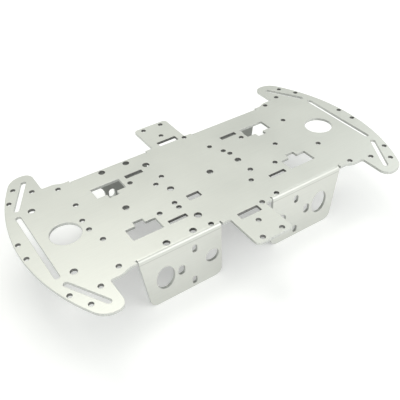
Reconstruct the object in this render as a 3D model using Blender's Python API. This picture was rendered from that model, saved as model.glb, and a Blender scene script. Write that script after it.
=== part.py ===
"""Bare chassis of a four-wheel mecanum robot, cut and bent from one aluminium sheet.

The sheet is a long deck with a curved bumper wing across each end, a square tab in the
middle of each long side, and four motor flanges bent down 90 degrees.  The deck carries
the bends, and each flange is a solid of its own that meets its bend with a hairline gap.

Frame: +X along the deck to the front of the robot, +Y to its left, +Z up.  The origin
is under the middle of the deck, at the level of the flanges' lower edges.
"""

import bpy
import bmesh
from math import atan2, copysign, cos, pi, radians, sin, sqrt, tan
from mathutils import Vector

MM = 0.001                      # every length below is in millimetres

# ---- sheet
SHEET = 2.0                     # thickness
BEND_R = 2.5                    # outer radius of each bend
SEAM = 0.3                      # gap between a bend and its flange
HEIGHT = 41.5                   # deck top above the flanges' lower edges

# ---- deck outline, given for the quarter x > 0, y > 0
HALF_LENGTH = 129.7             # bumper arc at the centre line
HALF_WIDTH = 46.8               # body between the wings
BUMPER_R = 131.0                # radius of the bumper arc
WING_Y = 70.6                   # wing tips
WING_X = 95.3                   # inner edge of the wings
WING_TIP_R = 12.0               # outer corner of a tip
WING_CORNER_R = 6.0             # inner corner of a tip
NECK_Y = 49.2                   # body beside the wings
NECK_X = (81.0, 88.5)           # where the wider neck starts and ends
TAB_X = 13.4
TAB_Y = 74.0
TAB_CORNER_R = 3.0
ROOT_R = 1.2                    # inner corners of the outline

# ---- motor flanges
FLANGE_X = (19.8, 76.5)         # inner and outer end at the bend
FLANGE_FOOT_X = 71.4            # outer end at the lower edge
FLANGE_CORNER_R = 5.5
RELIEF = 0.8                    # slit beside each end of a bend

# ---- holes and slots
HUB_HOLE = (100.0, 19.6)        # distance from the middle, diameter
SLOT_W = 3.3                    # sensor slots in the wings
LONG_SLOT = (118.3, 29.8)       # x, half distance between its end centres
SIDE_SLOT = ((116.4, 38.0), (102.8, 62.2))
WINDOW_X = (49.5, 70.0)         # cable windows
WINDOW_Y = (18.6, 29.3)
WINDOW_NOTCH = (56.3, 63.0, 14.7)
CLIP_SLOT = (38.7, 27.9, 12.6, 3.1)
STRAP_SLOT = (0.0, 48.2, 15.0, 5.0)
CENTRE_SLOT = (-18.6, -14.8, 8.8, 5.0)

M3 = 3.2
M4 = 4.2
# Holes that repeat in all four quarters: x, y, diameter
QUARTER_HOLES = [
    (127.0, 6.9, 3.0), (118.3, 46.7, 3.0), (111.4, 58.7, 3.0), (101.6, 50.2, M3),
    (7.2, 70.4, M3),
]
# Holes on both sides of the centre line: x, y, diameter
PAIRED_HOLES = [
    (-109.0, 31.7, M4), (-87.0, 4.8, M3), (-86.7, 42.5, M3), (86.8, 45.5, M3),
    (-55.4, 42.0, M4), (-37.1, 42.0, M4), (-27.0, 32.1, 4.6), (12.2, 45.2, M3),
    (0.0, 57.2, M3),
]
# Single holes: the sensor and controller board patterns, x, y, diameter
BOARD_HOLES = [
    (-25.1, -43.4, M3), (25.1, -43.4, M3),
    (-84.0, 20.8, M3), (-84.0, -17.4, M3), (84.0, 20.8, M3), (84.0, -17.4, M3),
    (-45.3, 20.8, M3), (-45.3, -17.2, M3), (45.3, 20.8, M3), (45.3, -17.2, M3),
    (-32.4, 9.4, M3), (-32.4, -13.8, M3), (-32.4, -18.9, M3),
    (20.2, 24.4, M3), (20.4, -23.4, M3), (-25.1, 14.6, M3), (25.1, 14.6, M3),
    (27.0, 9.4, M3), (27.0, -13.8, 3.4),
    (-59.5, 0.0, M4), (59.5, 0.0, M3), (-26.9, 0.0, M4), (26.9, 0.0, M4), (3.8, 0.0, M4),
]
# Openings in a flange: distance from the middle, depth below the deck, width, height
AXLE_HOLE = (60.3, 22.1, 12.4, 17.6)
FLANGE_SLOTS = [(49.2, 22.3, 4.6, 7.2), (39.4, 9.9, 3.4, 5.8), (40.3, 36.0, 3.4, 5.8)]
FLANGE_ROUND = (27.0, 22.4, 9.4)

# ---- how finely the round shapes are divided
HOLE_STEPS = 16
BIG_HOLE_STEPS = 40
CORNER_STEPS = 5
BUMPER_STEPS = 22
BEND_STEPS = 6

BEND_Y = HALF_WIDTH - BEND_R
BEND_LENGTH = BEND_R * pi / 2   # along the sheet's top face


def arc(cx, cy, radius, start, end, steps):
    """Points on a circle, from the start angle to the end angle, both included."""
    angles = [start + (end - start) * i / steps for i in range(steps + 1)]
    return [(cx + radius * cos(a), cy + radius * sin(a)) for a in angles]


def circle(x, y, diameter, steps=HOLE_STEPS):
    return arc(x, y, diameter / 2, 0.0, 2 * pi, steps)[:-1]


def oval(x, y, width, height, steps=BIG_HOLE_STEPS // 2):
    angles = [2 * pi * i / steps for i in range(steps)]
    return [(x + width / 2 * cos(a), y + height / 2 * sin(a)) for a in angles]


def long_hole(start, end, width, steps=HOLE_STEPS // 2):
    """A straight slot with round ends; start and end are the end circles' centres."""
    side = atan2(end[1] - start[1], end[0] - start[0]) + pi / 2
    radius = width / 2
    return (arc(*start, radius, side, side + pi, steps)
            + arc(*end, radius, side + pi, side + 2 * pi, steps))


def rectangle(x, y, length, width):
    a, b = length / 2, width / 2
    return [(x - a, y - b), (x + a, y - b), (x + a, y + b), (x - a, y + b)]


def rounded(corners, steps=CORNER_STEPS):
    """A path through corners (x, y, radius), each corner turned into an arc."""
    points = []
    for i, (x, y, radius) in enumerate(corners):
        if radius == 0.0 or i in (0, len(corners) - 1):
            points.append((x, y))
            continue
        here = Vector((x, y))
        back = (Vector(corners[i - 1][:2]) - here).normalized()
        ahead = (Vector(corners[i + 1][:2]) - here).normalized()
        half = back.angle(ahead) / 2
        first = here + back * radius / tan(half)
        last = here + ahead * radius / tan(half)
        centre = here + (back + ahead).normalized() * radius / sin(half)
        start = atan2(*(first - centre).yx)
        turn = (atan2(*(last - centre).yx) - start + pi) % (2 * pi) - pi
        points += arc(*centre, radius, start, start + turn, steps)
    return points


def mirrored(points, sign_x, sign_y):
    return [(sign_x * x, sign_y * y) for x, y in points]


def wing_edge():
    """The bumper arc and the wing tip, from the centre line round to the wing's root."""
    arc_x = HALF_LENGTH - BUMPER_R
    tip_y = WING_Y - WING_TIP_R
    reach = sqrt((BUMPER_R - WING_TIP_R) ** 2 - tip_y ** 2)
    tangent = atan2(tip_y, reach)
    inner_x, inner_y = WING_X + WING_CORNER_R, WING_Y - WING_CORNER_R
    return (arc(arc_x, 0.0, BUMPER_R, 0.0, tangent, BUMPER_STEPS)
            + arc(arc_x + reach, tip_y, WING_TIP_R, tangent, pi / 2, CORNER_STEPS)[1:]
            + arc(inner_x, inner_y, WING_CORNER_R, pi / 2, pi, CORNER_STEPS))


def neck_edge():
    """The soft step from the wide neck beside a wing down to the body's edge."""
    start, end = NECK_X
    steps = 2 * CORNER_STEPS
    points = []
    for i in range(steps + 1):
        share = i / steps
        points.append((end + (start - end) * share,
                       HALF_WIDTH + (NECK_Y - HALF_WIDTH) * (1 + cos(pi * share)) / 2))
    return points


def deck_quarter():
    """The flat deck's outline from the bumper's middle to the tab's middle, x > 0, y > 0."""
    inner_x, outer_x = FLANGE_X
    root = rounded([(WING_X, NECK_Y + 2 * ROOT_R, 0.0), (WING_X, NECK_Y, ROOT_R),
                    (WING_X - 2 * ROOT_R, NECK_Y, 0.0)])
    bend = [(outer_x + RELIEF, HALF_WIDTH), (outer_x + RELIEF, BEND_Y), (outer_x, BEND_Y),
            (outer_x, BEND_Y + BEND_LENGTH), (inner_x, BEND_Y + BEND_LENGTH),
            (inner_x, BEND_Y), (inner_x - RELIEF, BEND_Y), (inner_x - RELIEF, HALF_WIDTH)]
    tab = rounded([(TAB_X + 2 * ROOT_R, HALF_WIDTH, 0.0), (TAB_X, HALF_WIDTH, ROOT_R),
                   (TAB_X, TAB_Y, TAB_CORNER_R), (0.0, TAB_Y, 0.0)])
    return wing_edge() + root + neck_edge() + bend + tab


def deck_outline():
    """The whole outline: the quarter and its mirror images, joined end to end."""
    quarter = deck_quarter()
    back = quarter[::-1]
    return (quarter + mirrored(back, -1, 1)[1:] + mirrored(quarter, -1, -1)[1:]
            + mirrored(back, 1, -1)[1:-1])


def window():
    """A cable window with its notch towards the centre line."""
    (x0, x1), (y0, y1) = WINDOW_X, WINDOW_Y
    notch_x0, notch_x1, notch_y = WINDOW_NOTCH
    return [(x0, y1), (x0, y0), (notch_x0, y0), (notch_x0, notch_y),
            (notch_x1, notch_y), (notch_x1, y0), (x1, y0), (x1, y1)]


def deck_holes():
    quarters = [(1, 1), (-1, 1), (-1, -1), (1, -1)]
    holes = [circle(*hole) for hole in BOARD_HOLES]
    holes += [circle(x, side * y, d) for x, y, d in PAIRED_HOLES for side in (1, -1)]
    holes.append(rectangle(*CENTRE_SLOT))
    for side in (1, -1):
        holes.append(circle(side * HUB_HOLE[0], 0.0, HUB_HOLE[1], BIG_HOLE_STEPS))
        slot_x, half = LONG_SLOT
        holes.append(long_hole((side * slot_x, -half), (side * slot_x, half), SLOT_W))
        holes.append(mirrored(rectangle(*STRAP_SLOT), 1, side))
    for signs in quarters:
        holes += [mirrored(circle(*hole), *signs) for hole in QUARTER_HOLES]
        holes.append(mirrored(long_hole(*SIDE_SLOT, SLOT_W), *signs))
        holes.append(mirrored(window(), *signs))
        holes.append(mirrored(rectangle(*CLIP_SLOT), *signs))
    return holes


def flange_outline():
    """The flange laid flat: x along the bend, y the depth below the deck's top."""
    top = BEND_R + SEAM
    corners = [(FLANGE_X[0], top, 0.0), (FLANGE_X[1], top, 0.0),
               (FLANGE_FOOT_X, HEIGHT, FLANGE_CORNER_R),
               (FLANGE_X[0], HEIGHT, FLANGE_CORNER_R), (FLANGE_X[0], top, 0.0)]
    return rounded(corners)[:-1]


def upright_slot(x, depth, width, height):
    reach = (height - width) / 2
    return long_hole((x, depth - reach), (x, depth + reach), width)


def flange_holes():
    holes = [upright_slot(*slot) for slot in FLANGE_SLOTS]
    holes.append(oval(*AXLE_HOLE))
    holes.append(circle(*FLANGE_ROUND, BIG_HOLE_STEPS // 2))
    return holes


def sheet_mesh(outline, holes):
    """A flat sheet with its top face at z = 0, filled between the outline and the holes."""
    bm = bmesh.new()
    edges = []
    for loop in [outline] + holes:
        points = [bm.verts.new((x, y, 0.0)) for x, y in loop]
        edges += [bm.edges.new((a, b)) for a, b in zip(points, points[1:] + points[:1])]
    bmesh.ops.triangle_fill(bm, edges=edges, use_beauty=True, normal=(0.0, 0.0, 1.0))
    extruded = bmesh.ops.extrude_face_region(bm, geom=bm.faces[:])
    lower = [item for item in extruded["geom"] if isinstance(item, bmesh.types.BMVert)]
    bmesh.ops.translate(bm, verts=lower, vec=(0.0, 0.0, -SHEET))
    return bm


def in_bend(point):
    """Whether a point of the flat sheet lies on one of the four strips that bend."""
    return FLANGE_X[0] - RELIEF / 2 < abs(point.x) < FLANGE_X[1] + RELIEF / 2 and (
        abs(point.y) > BEND_Y)


def cut_across(bm, faces, y):
    """Divide faces along the line y."""
    geometry = set(faces)
    for face in faces:
        geometry.update(face.edges)
        geometry.update(face.verts)
    bmesh.ops.bisect_plane(bm, geom=list(geometry), plane_co=(0.0, y, 0.0),
                           plane_no=(0.0, 1.0, 0.0))


def bend_down(bm):
    """Bend the four strips of the flat sheet down about the lines y = BEND_Y and -BEND_Y."""
    for side in (1, -1):
        cut_across(bm, bm.faces[:], side * BEND_Y)
        for i in range(1, BEND_STEPS):
            strips = [face for face in bm.faces if in_bend(face.calc_center_median())]
            cut_across(bm, strips, side * (BEND_Y + BEND_LENGTH * i / BEND_STEPS))
    for vert in bm.verts:
        if in_bend(vert.co):
            side = copysign(1.0, vert.co.y)
            angle = (abs(vert.co.y) - BEND_Y) / BEND_R
            radius = BEND_R + vert.co.z
            vert.co.y = side * (BEND_Y + radius * sin(angle))
            vert.co.z = radius * cos(angle) - BEND_R


def material(name, colour, roughness, metallic):
    made = bpy.data.materials.new(name)
    made.use_nodes = True
    shader = made.node_tree.nodes["Principled BSDF"]
    shader.inputs["Base Color"].default_value = (*colour, 1.0)
    shader.inputs["Roughness"].default_value = roughness
    shader.inputs["Metallic"].default_value = metallic
    made.diffuse_color = (*colour, 1.0)
    return made


def add_object(name, bm, finish):
    bmesh.ops.scale(bm, verts=bm.verts[:], vec=(MM, MM, MM))
    bmesh.ops.recalc_face_normals(bm, faces=bm.faces[:])
    mesh = bpy.data.meshes.new(name)
    bm.to_mesh(mesh)
    bm.free()
    mesh.materials.append(finish)
    mesh.shade_smooth()
    mesh.set_sharp_from_angle(angle=radians(30))
    made = bpy.data.objects.new(name, mesh)
    bpy.context.scene.collection.objects.link(made)
    return made


def make_deck():
    bm = sheet_mesh(deck_outline(), deck_holes())
    bend_down(bm)
    deck = add_object("deck", bm, material("deck_aluminium", (0.78, 0.80, 0.77), 0.38, 1.0))
    deck.location.z = HEIGHT * MM


def make_flange(name, sign_x, sign_y):
    """A flange, built flat and turned upright with its outer face away from the deck."""
    bm = sheet_mesh(flange_outline(), flange_holes())
    bmesh.ops.scale(bm, verts=bm.verts[:], vec=(sign_x * sign_y, 1.0, 1.0))
    flange = add_object(name, bm, material(name + "_aluminium", (0.76, 0.78, 0.75), 0.40, 1.0))
    flange.location = (0.0, sign_y * HALF_WIDTH * MM, HEIGHT * MM)
    flange.rotation_euler = (-pi / 2, 0.0, 0.0 if sign_y > 0 else pi)


def build():
    for item in list(bpy.data.objects):
        bpy.data.objects.remove(item, do_unlink=True)
    make_deck()
    for end, sign_x in (("front", 1), ("rear", -1)):
        for side, sign_y in (("left", 1), ("right", -1)):
            make_flange(f"motor_flange_{end}_{side}", sign_x, sign_y)


build()
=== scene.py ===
"""Looks for the bare chassis of a mecanum robot: one bent sheet of satin aluminium.

The five solids of the frame are zones of one real sheet, so one continuous sheet with
softened edges stands for all of them.  It is drawn flat, as it would be cut, and then
bent down along the four lines where the motor flanges start.
"""

from math import atan2, copysign, cos, pi, radians, sin, sqrt, tan

import bmesh
import bpy
from mathutils import Matrix, Vector


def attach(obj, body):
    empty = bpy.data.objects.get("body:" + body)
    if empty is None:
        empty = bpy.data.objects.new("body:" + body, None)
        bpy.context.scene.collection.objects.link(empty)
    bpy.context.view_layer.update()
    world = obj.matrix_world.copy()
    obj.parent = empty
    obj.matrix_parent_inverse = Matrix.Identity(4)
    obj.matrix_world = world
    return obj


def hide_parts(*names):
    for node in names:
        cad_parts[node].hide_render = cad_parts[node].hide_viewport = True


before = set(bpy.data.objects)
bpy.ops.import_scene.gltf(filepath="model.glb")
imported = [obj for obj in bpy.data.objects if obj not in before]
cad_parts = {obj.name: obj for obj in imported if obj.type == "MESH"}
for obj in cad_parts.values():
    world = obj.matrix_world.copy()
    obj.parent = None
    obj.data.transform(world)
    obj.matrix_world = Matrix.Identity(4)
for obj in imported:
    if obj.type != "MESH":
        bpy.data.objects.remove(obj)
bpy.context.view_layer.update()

MM = 0.001                      # every length below is in millimetres

# ---- sheet
SHEET = 2.0                     # thickness
BEND_R = 2.5                    # outer radius of each bend
HEIGHT = 41.5                   # deck top above the flanges' lower edges

# ---- deck outline, given for the quarter x > 0, y > 0
HALF_LENGTH = 129.7             # bumper arc at the centre line
HALF_WIDTH = 46.8               # body between the wings
BUMPER_R = 131.0                # radius of the bumper arc
WING_Y = 70.6                   # wing tips
WING_X = 95.3                   # inner edge of the wings
WING_TIP_R = 12.0               # outer corner of a tip
WING_CORNER_R = 6.0             # inner corner of a tip
NECK_Y = 49.2                   # body beside the wings
NECK_X = (81.0, 88.5)           # where the wider neck starts and ends
TAB_X = 13.4
TAB_Y = 74.0
TAB_CORNER_R = 3.0
ROOT_R = 1.2                    # inner corners of the outline

# ---- motor flanges
FLANGE_X = (19.8, 76.5)         # inner and outer end at the bend
FLANGE_FOOT_X = 71.4            # outer end at the lower edge
FLANGE_CORNER_R = 5.5
RELIEF = 0.8                    # slit beside each end of a bend

# ---- holes and slots
HUB_HOLE = (100.0, 19.6)        # distance from the middle, diameter
SLOT_W = 3.3                    # sensor slots in the wings
LONG_SLOT = (118.3, 29.8)       # x, half distance between its end centres
SIDE_SLOT = ((116.4, 38.0), (102.8, 62.2))
WINDOW_X = (49.5, 70.0)         # cable windows
WINDOW_Y = (18.6, 29.3)
WINDOW_NOTCH = (56.3, 63.0, 14.7)
WINDOW_CORNER_R = 0.4
CLIP_SLOT = (38.7, 27.9, 12.6, 3.1)
STRAP_SLOT = (0.0, 48.2, 15.0, 5.0)
CENTRE_SLOT = (-18.6, -14.8, 8.8, 5.0)

M3 = 3.2
M4 = 4.2
# Holes that repeat in all four quarters: x, y, diameter
QUARTER_HOLES = [
    (127.0, 6.9, 3.0), (118.3, 46.7, 3.0), (111.4, 58.7, 3.0), (101.6, 50.2, M3),
    (7.2, 70.4, M3),
]
# Holes on both sides of the centre line: x, y, diameter
PAIRED_HOLES = [
    (-109.0, 31.7, M4), (-87.0, 4.8, M3), (-86.7, 42.5, M3), (86.8, 45.5, M3),
    (-55.4, 42.0, M4), (-37.1, 42.0, M4), (-27.0, 32.1, 4.6), (12.2, 45.2, M3),
    (0.0, 57.2, M3),
]
# Single holes: the sensor and controller board patterns, x, y, diameter
BOARD_HOLES = [
    (-25.1, -43.4, M3), (25.1, -43.4, M3),
    (-84.0, 20.8, M3), (-84.0, -17.4, M3), (84.0, 20.8, M3), (84.0, -17.4, M3),
    (-45.3, 20.8, M3), (-45.3, -17.2, M3), (45.3, 20.8, M3), (45.3, -17.2, M3),
    (-32.4, 9.4, M3), (-32.4, -13.8, M3), (-32.4, -18.9, M3),
    (20.2, 24.4, M3), (20.4, -23.4, M3), (-25.1, 14.6, M3), (25.1, 14.6, M3),
    (27.0, 9.4, M3), (27.0, -13.8, 3.4),
    (-59.5, 0.0, M4), (59.5, 0.0, M3), (-26.9, 0.0, M4), (26.9, 0.0, M4), (3.8, 0.0, M4),
]
# Openings in a flange: distance from the middle, depth below the deck, width, height
AXLE_HOLE = (60.3, 22.1, 12.4, 17.6)
FLANGE_SLOTS = [(49.2, 22.3, 4.6, 7.2), (39.4, 9.9, 3.4, 5.8), (40.3, 36.0, 3.4, 5.8)]
FLANGE_ROUND = (27.0, 22.4, 9.4)
QUARTERS = [(1, 1), (-1, 1), (-1, -1), (1, -1)]

# ---- softened rims and how finely round shapes are divided
RIM_R = 0.22                    # edges are tumbled after cutting
RIM_SUPPORT = 0.16              # flat ring inside each rim that keeps the shading flat
RIM_STEPS = 3
HOLE_STEPS = 32
BIG_HOLE_STEPS = 96
CORNER_STEPS = 10
BUMPER_STEPS = 72
BEND_STEPS = 12
WINDOW_CORNER_STEPS = 4
SAME_PLACE = 1e-4               # points closer than this are one point
SHARP_ANGLE = radians(40)       # edges sharper than this stay sharp in the shading

# ---- finish: which material each kind of face takes, and their colours
TOP_FACE, UNDERSIDE, CUT_EDGE, HOLE_WALL = range(4)
FACE_COLOUR = (0.700, 0.708, 0.668)
# painted shade: the underside and the flanges' inner faces are the same aluminium as the top,
# coloured about half as bright for the shade beneath the deck
UNDERSIDE_PAINTED_SHADE_COLOUR = (0.34, 0.35, 0.33)
EDGE_COLOURS = ((0.50, 0.51, 0.49), (0.68, 0.69, 0.66))
# painted shade: the walls of screw holes and small slots are the same cut metal as the other
# walls, coloured near black for the shade inside them
HOLE_WALL_PAINTED_SHADE_COLOURS = ((0.14, 0.14, 0.135), (0.27, 0.27, 0.26))
BEND_DARK_LINE_DEPTH = 3.2                # depth of a faint dark line below the deck's top
BEND_DARK_LINE_W = 0.45             # half its width
BEND_DARK_LINE_CORE = 0.135         # half the width of its darkest part
BEND_DARK_LINE_SHADE = 0.80         # its brightness against the rest
FACE_METALLIC = 0.85
FACE_ROUGHNESS = (0.40, 0.47)   # lowest and highest, varying with the blotches
CUT_METALLIC = 0.8
CUT_ROUGHNESS = (0.38, 0.52)
NOISE_SPAN = (0.3, 0.7)         # where nearly all of a noise texture's values lie
EVEN = (1.0, 1.0, 1.0)          # grain with no direction
ROLLED = (60.0, 1400.0, 1400.0)         # grain drawn out along X
THROUGH_SHEET = (2600.0, 2600.0, 120.0)  # grain drawn out along Z
BLOTCH_SCALE = 22.0
FINE_SCALE = 1500.0
BLOTCH_SHADE = 0.96             # darkest brightness that each grain gives
ROLLED_SHADE = 0.97
FACE_BUMP = (0.22, 0.02)        # strength, and height in millimetres
CUT_BUMP = (0.35, 0.03)

BEND_Y = HALF_WIDTH - BEND_R
BEND_LENGTH = BEND_R * pi / 2   # along the sheet's top face


# ------------------------------------------------------------------ flat shapes

def arc(cx, cy, radius, start, end, steps):
    """Points on a circle, from the start angle to the end angle, both included."""
    angles = [start + (end - start) * i / steps for i in range(steps + 1)]
    return [(cx + radius * cos(a), cy + radius * sin(a)) for a in angles]


def circle(x, y, diameter, steps=HOLE_STEPS):
    return arc(x, y, diameter / 2, 0.0, 2 * pi, steps)[:-1]


def oval(x, y, width, height, steps=BIG_HOLE_STEPS // 2):
    angles = [2 * pi * i / steps for i in range(steps)]
    return [(x + width / 2 * cos(a), y + height / 2 * sin(a)) for a in angles]


def long_hole(start, end, width, steps=HOLE_STEPS // 2):
    """A straight slot with round ends; start and end are the end circles' centres."""
    side = atan2(end[1] - start[1], end[0] - start[0]) + pi / 2
    radius = width / 2
    return (arc(*start, radius, side, side + pi, steps)
            + arc(*end, radius, side + pi, side + 2 * pi, steps))


def rounded(corners, closed=False, steps=CORNER_STEPS):
    """A path through corners (x, y, radius), each corner turned into an arc."""
    points = []
    count = len(corners)
    for i, (x, y, radius) in enumerate(corners):
        if radius == 0.0 or (not closed and i in (0, count - 1)):
            points.append((x, y))
            continue
        here = Vector((x, y))
        back = (Vector(corners[i - 1][:2]) - here).normalized()
        ahead = (Vector(corners[(i + 1) % count][:2]) - here).normalized()
        half = back.angle(ahead) / 2
        first = here + back * radius / tan(half)
        last = here + ahead * radius / tan(half)
        centre = here + (back + ahead).normalized() * radius / sin(half)
        start = atan2(*(first - centre).yx)
        turn = (atan2(*(last - centre).yx) - start + pi) % (2 * pi) - pi
        points += arc(*centre, radius, start, start + turn, steps)
    return points


def rectangle(x, y, length, width, radius=WINDOW_CORNER_R):
    a, b = length / 2, width / 2
    corners = [(x - a, y - b), (x + a, y - b), (x + a, y + b), (x - a, y + b)]
    return rounded([(*corner, radius) for corner in corners], closed=True,
                   steps=WINDOW_CORNER_STEPS)


def mirrored(points, sign_x, sign_y):
    """The points with x and y each kept or reversed."""
    return [(sign_x * x, sign_y * y) for x, y in points]


def flat_y(depth):
    """Where a flange point that ends up at a depth below the deck's top lies when flat."""
    return BEND_Y + BEND_LENGTH + depth - BEND_R


def wing_edge():
    """The bumper arc and the wing tip, from the centre line round to the wing's root."""
    arc_x = HALF_LENGTH - BUMPER_R
    tip_y = WING_Y - WING_TIP_R
    reach = sqrt((BUMPER_R - WING_TIP_R) ** 2 - tip_y ** 2)
    tangent = atan2(tip_y, reach)
    inner_x, inner_y = WING_X + WING_CORNER_R, WING_Y - WING_CORNER_R
    return (arc(arc_x, 0.0, BUMPER_R, 0.0, tangent, BUMPER_STEPS)
            + arc(arc_x + reach, tip_y, WING_TIP_R, tangent, pi / 2, CORNER_STEPS)[1:]
            + arc(inner_x, inner_y, WING_CORNER_R, pi / 2, pi, CORNER_STEPS))


def neck_edge():
    """The soft step from the wide neck beside a wing down to the body's edge."""
    start, end = NECK_X
    steps = 2 * CORNER_STEPS
    points = []
    for i in range(steps + 1):
        share = i / steps
        points.append((end + (start - end) * share,
                       HALF_WIDTH + (NECK_Y - HALF_WIDTH) * (1 + cos(pi * share)) / 2))
    return points


def sheet_quarter():
    """The flat sheet's outline from the bumper's middle to the tab's middle, x > 0, y > 0."""
    inner_x, outer_x = FLANGE_X
    root = rounded([(WING_X, NECK_Y + 2 * ROOT_R, 0.0), (WING_X, NECK_Y, ROOT_R),
                    (WING_X - 2 * ROOT_R, NECK_Y, 0.0)])
    flange = rounded([
        (outer_x + RELIEF, HALF_WIDTH, 0.0), (outer_x + RELIEF, BEND_Y, 0.0),
        (outer_x, BEND_Y, 0.0), (outer_x, flat_y(BEND_R), 0.0),
        (FLANGE_FOOT_X, flat_y(HEIGHT), FLANGE_CORNER_R),
        (inner_x, flat_y(HEIGHT), FLANGE_CORNER_R), (inner_x, BEND_Y, 0.0),
        (inner_x - RELIEF, BEND_Y, 0.0), (inner_x - RELIEF, HALF_WIDTH, 0.0)])
    tab = rounded([(TAB_X + 2 * ROOT_R, HALF_WIDTH, 0.0), (TAB_X, HALF_WIDTH, ROOT_R),
                   (TAB_X, TAB_Y, TAB_CORNER_R), (0.0, TAB_Y, 0.0)])
    return wing_edge() + root + neck_edge() + flange + tab


def sheet_outline():
    """The whole outline: the quarter and its mirror images, joined end to end."""
    quarter = sheet_quarter()
    back = quarter[::-1]
    return (quarter + mirrored(back, -1, 1)[1:] + mirrored(quarter, -1, -1)[1:]
            + mirrored(back, 1, -1)[1:-1])


def window():
    """A cable window with its notch towards the centre line."""
    (x0, x1), (y0, y1) = WINDOW_X, WINDOW_Y
    notch_x0, notch_x1, notch_y = WINDOW_NOTCH
    corners = [(x0, y1), (x0, y0), (notch_x0, y0), (notch_x0, notch_y),
               (notch_x1, notch_y), (notch_x1, y0), (x1, y0), (x1, y1)]
    return rounded([(*corner, WINDOW_CORNER_R) for corner in corners], closed=True,
                   steps=WINDOW_CORNER_STEPS)


def flange_holes():
    x, depth, diameter = FLANGE_ROUND
    holes = [circle(x, flat_y(depth), diameter, BIG_HOLE_STEPS // 2)]
    x, depth, width, height = AXLE_HOLE
    holes.append(oval(x, flat_y(depth), width, height))
    for x, depth, width, height in FLANGE_SLOTS:
        middle, reach = flat_y(depth), (height - width) / 2
        holes.append(long_hole((x, middle - reach), (x, middle + reach), width))
    return holes


def pierced_holes():
    """The deck's screw holes and small slots, whose walls take a painted shade: the same cut
    metal as the other walls, coloured far darker for the shade inside them.
    """
    holes = [circle(*hole) for hole in BOARD_HOLES]
    holes += [circle(x, side * y, d) for x, y, d in PAIRED_HOLES for side in (1, -1)]
    holes.append(rectangle(*CENTRE_SLOT))
    for side in (1, -1):
        holes.append(mirrored(rectangle(*STRAP_SLOT), 1, side))
    for signs in QUARTERS:
        holes += [mirrored(circle(*hole), *signs) for hole in QUARTER_HOLES]
        holes.append(mirrored(rectangle(*CLIP_SLOT), *signs))
    return holes


def open_holes():
    """The round openings, the sensor slots, the windows and the openings in the flanges."""
    slot_x, half = LONG_SLOT
    holes = [long_hole((side * slot_x, -half), (side * slot_x, half), SLOT_W)
             for side in (1, -1)]
    holes += [circle(side * HUB_HOLE[0], 0.0, HUB_HOLE[1], BIG_HOLE_STEPS)
              for side in (1, -1)]
    for signs in QUARTERS:
        holes.append(mirrored(window(), *signs))
        holes.append(mirrored(long_hole(*SIDE_SLOT, SLOT_W), *signs))
        holes += [mirrored(hole, *signs) for hole in flange_holes()]
    return holes


# ------------------------------------------------------------------ sheet mesh

def without_doubles(points):
    return [p for i, p in enumerate(points)
            if (Vector(p) - Vector(points[i - 1])).length > SAME_PLACE]


def turned(points, ccw):
    """The loop running anticlockwise, or clockwise where ccw is false."""
    area = sum(a[0] * b[1] - b[0] * a[1] for a, b in zip(points, points[1:] + points[:1]))
    return points if (area > 0) == ccw else points[::-1]


def shifted(points, distance):
    """The loop moved by a distance to its left, which is into the metal."""
    result = []
    for i, point in enumerate(points):
        here = Vector(point)
        before = (here - Vector(points[i - 1])).normalized()
        after = (Vector(points[(i + 1) % len(points)]) - here).normalized()
        left_a = Vector((-before.y, before.x))
        left_b = Vector((-after.y, after.x))
        result.append(here + (left_a + left_b) * distance / (1 + left_a.dot(left_b)))
    return result


def wall_profile():
    """(distance into the metal, depth) down a cut edge, from top face to bottom face."""
    top = [(RIM_R + RIM_SUPPORT, 0.0)]
    for i in range(RIM_STEPS + 1):
        angle = (pi / 2) * i / RIM_STEPS
        top.append((RIM_R * (1 - sin(angle)), RIM_R * (1 - cos(angle))))
    return top + [(inset, SHEET - depth) for inset, depth in reversed(top)]


def ring(bm, points, depth):
    return [bm.verts.new((p.x, p.y, -depth)) for p in points]


def fill(bm, rings, up, finish):
    """Fills a face of the sheet between its outline and its holes."""
    edges = []
    for loop in rings:
        for a, b in zip(loop, loop[1:] + loop[:1]):
            edges.append(bm.edges.get((a, b)) or bm.edges.new((a, b)))
    made = bmesh.ops.triangle_fill(bm, edges=edges, use_beauty=True,
                                   normal=(0.0, 0.0, 1.0 if up else -1.0))
    faces = [item for item in made["geom"] if isinstance(item, bmesh.types.BMFace)]
    for face in faces:
        face.material_index = finish
        if (face.normal.z > 0) != up:
            face.normal_flip()


def flat_sheet():
    """The cut sheet before bending, top face at z = 0."""
    bm = bmesh.new()
    tops, bottoms = [], []
    profile = wall_profile()
    walls = [(sheet_outline(), True, CUT_EDGE)]
    walls += [(hole, False, HOLE_WALL) for hole in pierced_holes()]
    walls += [(hole, False, CUT_EDGE) for hole in open_holes()]
    for points, ccw, finish in walls:
        loop = turned(without_doubles(points), ccw)
        rings = [ring(bm, shifted(loop, inset), depth) for inset, depth in profile]
        finishes = [TOP_FACE] + [finish] * (len(profile) - 3) + [UNDERSIDE]
        for upper, lower, own in zip(rings, rings[1:], finishes):
            for i in range(len(loop)):
                j = (i + 1) % len(loop)
                face = bm.faces.new((upper[i], lower[i], lower[j], upper[j]))
                face.material_index = own
        tops.append(rings[0])
        bottoms.append(rings[-1])
    fill(bm, tops, True, TOP_FACE)
    fill(bm, bottoms, False, UNDERSIDE)
    return bm


def in_flange(point):
    """Whether a point of the flat sheet lies on one of the four strips that bend."""
    return FLANGE_X[0] - RELIEF / 2 < abs(point.x) < FLANGE_X[1] + RELIEF / 2 and (
        abs(point.y) > BEND_Y - 1e-6)


def cut_across(bm, faces, y):
    """Divides faces along the line y."""
    geometry = set(faces)
    for face in faces:
        geometry.update(face.edges)
        geometry.update(face.verts)
    bmesh.ops.bisect_plane(bm, geom=list(geometry), plane_co=(0.0, y, 0.0),
                           plane_no=(0.0, 1.0, 0.0))


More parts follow.
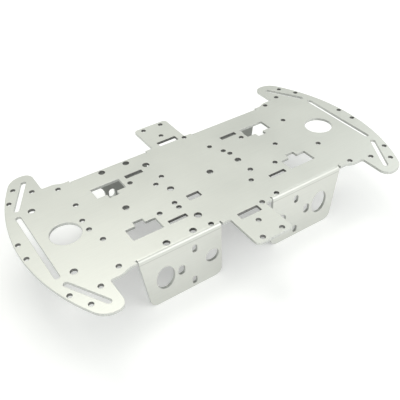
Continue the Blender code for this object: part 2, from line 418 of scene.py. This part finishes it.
def bend_down(bm):
    """Bends the four strips of the flat sheet down about the lines y = BEND_Y and -BEND_Y."""
    margin = RIM_R + RIM_SUPPORT
    for side in (1, -1):
        cut_across(bm, bm.faces[:], side * (BEND_Y - margin))
        cut_across(bm, bm.faces[:], side * BEND_Y)
        lines = [BEND_LENGTH * i / BEND_STEPS for i in range(1, BEND_STEPS + 1)]
        for line in lines + [BEND_LENGTH + margin]:
            strips = [f for f in bm.faces if in_flange(f.calc_center_median())]
            cut_across(bm, strips, side * (BEND_Y + line))
    for vert in bm.verts:
        if not in_flange(vert.co):
            continue
        side = copysign(1.0, vert.co.y)
        along = abs(vert.co.y) - BEND_Y
        angle = min(along, BEND_LENGTH) / BEND_R
        radius = BEND_R + vert.co.z
        vert.co.y = side * (BEND_Y + radius * sin(angle))
        vert.co.z = radius * cos(angle) - BEND_R - max(along - BEND_LENGTH, 0.0)


def make_plate(finishes):
    """The whole chassis plate as one mesh, in metres; the finishes follow their numbers."""
    bm = flat_sheet()
    bend_down(bm)
    for vert in bm.verts:
        vert.co.z += HEIGHT
    bmesh.ops.scale(bm, verts=bm.verts[:], vec=(MM, MM, MM))
    mesh = bpy.data.meshes.new("chassis_plate")
    bm.to_mesh(mesh)
    bm.free()
    for finish in finishes:
        mesh.materials.append(finish)
    mesh.shade_smooth()
    mesh.set_sharp_from_angle(angle=SHARP_ANGLE)
    plate = bpy.data.objects.new("chassis_plate", mesh)
    bpy.context.scene.collection.objects.link(plate)
    weighted = plate.modifiers.new("flat faces stay flat", "WEIGHTED_NORMAL")
    weighted.keep_sharp = True
    return plate


# ------------------------------------------------------------------ materials

def node_material(name):
    made = bpy.data.materials.new(name)
    made.use_nodes = True
    return made, made.node_tree, made.node_tree.nodes["Principled BSDF"]


def add(tree, kind, **values):
    node = tree.nodes.new(kind)
    for key, value in values.items():
        if key in node.inputs:
            node.inputs[key].default_value = value
        else:
            setattr(node, key, value)
    return node


def grain(tree, link, place, stretch, scale, detail=3.0):
    """Noise drawn out along an axis: stretch is how tightly it is packed along each axis."""
    mapping = add(tree, "ShaderNodeMapping")
    mapping.inputs["Scale"].default_value = stretch
    noise = add(tree, "ShaderNodeTexNoise", Scale=scale, Detail=detail)
    link(place.outputs["Object"], mapping.inputs["Vector"])
    link(mapping.outputs["Vector"], noise.inputs["Vector"])
    return noise


def between(tree, link, value, low, high, out_low, out_high):
    """Maps a value from one range to another, clamped at both ends."""
    made = add(tree, "ShaderNodeMapRange")
    for name, number in zip(("From Min", "From Max", "To Min", "To Max"),
                            (low, high, out_low, out_high)):
        made.inputs[name].default_value = number
    link(value, made.inputs["Value"])
    return made.outputs["Result"]


def times(tree, link, first, second):
    made = add(tree, "ShaderNodeMath", operation="MULTIPLY")
    link(first, made.inputs[0])
    link(second, made.inputs[1])
    return made.outputs["Value"]


def bumped(tree, link, height, amount, shader):
    """Bumps a surface by a height; the amount is its strength and its millimetres."""
    strength, distance = amount
    bump = add(tree, "ShaderNodeBump")
    bump.inputs["Strength"].default_value = strength
    bump.inputs["Distance"].default_value = distance * MM
    link(height, bump.inputs["Height"])
    link(bump.outputs["Normal"], shader.inputs["Normal"])


def bend_dark_line(tree, link, place):
    """A faint dark line below each bend: 1 away from it."""
    parts = add(tree, "ShaderNodeSeparateXYZ")
    link(place.outputs["Object"], parts.inputs["Vector"])
    offset = add(tree, "ShaderNodeMath", operation="SUBTRACT")
    offset.inputs[1].default_value = (HEIGHT - BEND_DARK_LINE_DEPTH) * MM
    link(parts.outputs["Z"], offset.inputs[0])
    size = add(tree, "ShaderNodeMath", operation="ABSOLUTE")
    link(offset.outputs["Value"], size.inputs[0])
    return between(tree, link, size.outputs["Value"], BEND_DARK_LINE_CORE * MM,
                   BEND_DARK_LINE_W * MM, BEND_DARK_LINE_SHADE, 1.0)


def sheet_face(name, colour):
    """Satin aluminium: rolled grain along the sheet, faint blotches, faint dark lines below
    the bends.
    """
    made, tree, shader = node_material(name)
    link = tree.links.new
    place = add(tree, "ShaderNodeTexCoord")
    shader.inputs["Metallic"].default_value = FACE_METALLIC

    blotch = grain(tree, link, place, EVEN, BLOTCH_SCALE)
    rolled = grain(tree, link, place, ROLLED, 1.0)
    fine = grain(tree, link, place, EVEN, FINE_SCALE, 2.0)

    shade = times(tree, link,
                  between(tree, link, blotch.outputs["Fac"], *NOISE_SPAN, BLOTCH_SHADE, 1.0),
                  between(tree, link, rolled.outputs["Fac"], *NOISE_SPAN, ROLLED_SHADE, 1.0))
    shade = times(tree, link, shade, bend_dark_line(tree, link, place))
    tint = add(tree, "ShaderNodeValToRGB")
    tint.color_ramp.elements[0].color = (0.0, 0.0, 0.0, 1.0)
    tint.color_ramp.elements[1].color = (*colour, 1.0)
    link(shade, tint.inputs["Fac"])
    link(tint.outputs["Color"], shader.inputs["Base Color"])
    link(between(tree, link, blotch.outputs["Fac"], *NOISE_SPAN, *FACE_ROUGHNESS),
         shader.inputs["Roughness"])

    height = add(tree, "ShaderNodeMath", operation="ADD")
    link(rolled.outputs["Fac"], height.inputs[0])
    link(fine.outputs["Fac"], height.inputs[1])
    bumped(tree, link, height.outputs["Value"], FACE_BUMP, shader)
    return made


def cut_face(name, colours):
    """A laser-cut wall: duller than the faces, with fine lines through the sheet."""
    made, tree, shader = node_material(name)
    link = tree.links.new
    place = add(tree, "ShaderNodeTexCoord")
    shader.inputs["Metallic"].default_value = CUT_METALLIC
    lines = grain(tree, link, place, THROUGH_SHEET, 1.0, 2.0)
    tint = add(tree, "ShaderNodeValToRGB")
    for stop, position, colour in zip(tint.color_ramp.elements, NOISE_SPAN, colours):
        stop.position = position
        stop.color = (*colour, 1.0)
    link(lines.outputs["Fac"], tint.inputs["Fac"])
    link(tint.outputs["Color"], shader.inputs["Base Color"])
    link(between(tree, link, lines.outputs["Fac"], *NOISE_SPAN, *CUT_ROUGHNESS),
         shader.inputs["Roughness"])
    bumped(tree, link, lines.outputs["Fac"], CUT_BUMP, shader)
    return made


# ------------------------------------------------------------------ stage

CAMERA_PLACE = (-171.1, -264.5, 276.6)
CAMERA_YAW = 32.14              # degrees from +Y towards +X
CAMERA_PITCH = 39.26            # below the horizon
CAMERA_ROLL = -2.47
CAMERA_LENS = 53.34
FLOOR_HALF = 6.0                # metres


def make_camera():
    yaw, pitch, roll = (radians(a) for a in (CAMERA_YAW, CAMERA_PITCH, CAMERA_ROLL))
    ahead = Vector((sin(yaw) * cos(pitch), cos(yaw) * cos(pitch), -sin(pitch)))
    right = ahead.cross(Vector((0.0, 0.0, 1.0))).normalized()
    up = right.cross(ahead)
    right, up = cos(roll) * right + sin(roll) * up, cos(roll) * up - sin(roll) * right
    camera = bpy.data.objects.new("camera", bpy.data.cameras.new("camera"))
    bpy.context.scene.collection.objects.link(camera)
    camera.data.lens = CAMERA_LENS
    camera.data.sensor_width = 36.0
    camera.data.clip_start = 0.01
    turn = Matrix((right, up, -ahead)).transposed().to_4x4()
    camera.matrix_world = Matrix.Translation(Vector(CAMERA_PLACE) * MM) @ turn
    bpy.context.scene.camera = camera


def make_floor():
    """A pale table top at the height of the flanges' lower edges."""
    mesh = bpy.data.meshes.new("floor")
    size = FLOOR_HALF
    corners = [(-size, -size, 0.0), (size, -size, 0.0), (size, size, 0.0), (-size, size, 0.0)]
    mesh.from_pydata(corners, [], [(0, 1, 2, 3)])
    floor = bpy.data.objects.new("floor", mesh)
    bpy.context.scene.collection.objects.link(floor)
    made, tree, shader = node_material("white_table")
    shader.inputs["Base Color"].default_value = (0.80, 0.80, 0.80, 1.0)
    shader.inputs["Roughness"].default_value = 0.9
    shader.inputs["Specular IOR Level"].default_value = 0.0
    shader.inputs["Emission Color"].default_value = (1.0, 1.0, 1.0, 1.0)
    shader.inputs["Emission Strength"].default_value = 0.30
    mesh.materials.append(made)


def area_light(name, place, target, size, power, colour=(1.0, 1.0, 1.0)):
    data = bpy.data.lights.new(name, "AREA")
    data.shape = "RECTANGLE"
    data.size, data.size_y = size
    data.energy = power
    data.color = colour
    light = bpy.data.objects.new(name, data)
    light.location = place
    aim = Vector(target) - Vector(place)
    light.rotation_euler = aim.to_track_quat("-Z", "Y").to_euler()
    bpy.context.scene.collection.objects.link(light)
    return light


def make_lights():
    world = bpy.data.worlds.new("studio")
    world.use_nodes = True
    sky = world.node_tree.nodes["Background"]
    sky.inputs["Color"].default_value = (0.97, 1.0, 0.96, 1.0)
    sky.inputs["Strength"].default_value = 0.72
    bpy.context.scene.world = world
    area_light("overhead", (0.02, 0.42, 1.05), (-0.06, 0.0, 0.0), (0.6, 0.45), 2.9,
               (1.0, 0.985, 0.93))
    area_light("right", (0.82, 0.20, 0.72), (0.06, -0.04, 0.0), (0.5, 0.5), 1.0,
               (0.95, 0.99, 1.0))
    area_light("front", (0.45, -0.85, 0.70), (0.0, 0.0, 0.0), (0.8, 0.6), 3.6)


# ------------------------------------------------------------------ build

plate = make_plate([
    sheet_face("satin_aluminium", FACE_COLOUR),
    # painted shade: the underside's dark colour stands in for the shade under the deck
    sheet_face("underside_painted_shade", UNDERSIDE_PAINTED_SHADE_COLOUR),
    cut_face("cut_aluminium", EDGE_COLOURS),
    # painted shade: a darker copy of the cut walls' material, for the shade inside the small
    # holes
    cut_face("pierced_walls_painted_shade", HOLE_WALL_PAINTED_SHADE_COLOURS),
])
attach(plate, "root")
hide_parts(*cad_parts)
make_floor()
make_lights()
make_camera()
bpy.context.scene.view_settings.view_transform = "Standard"
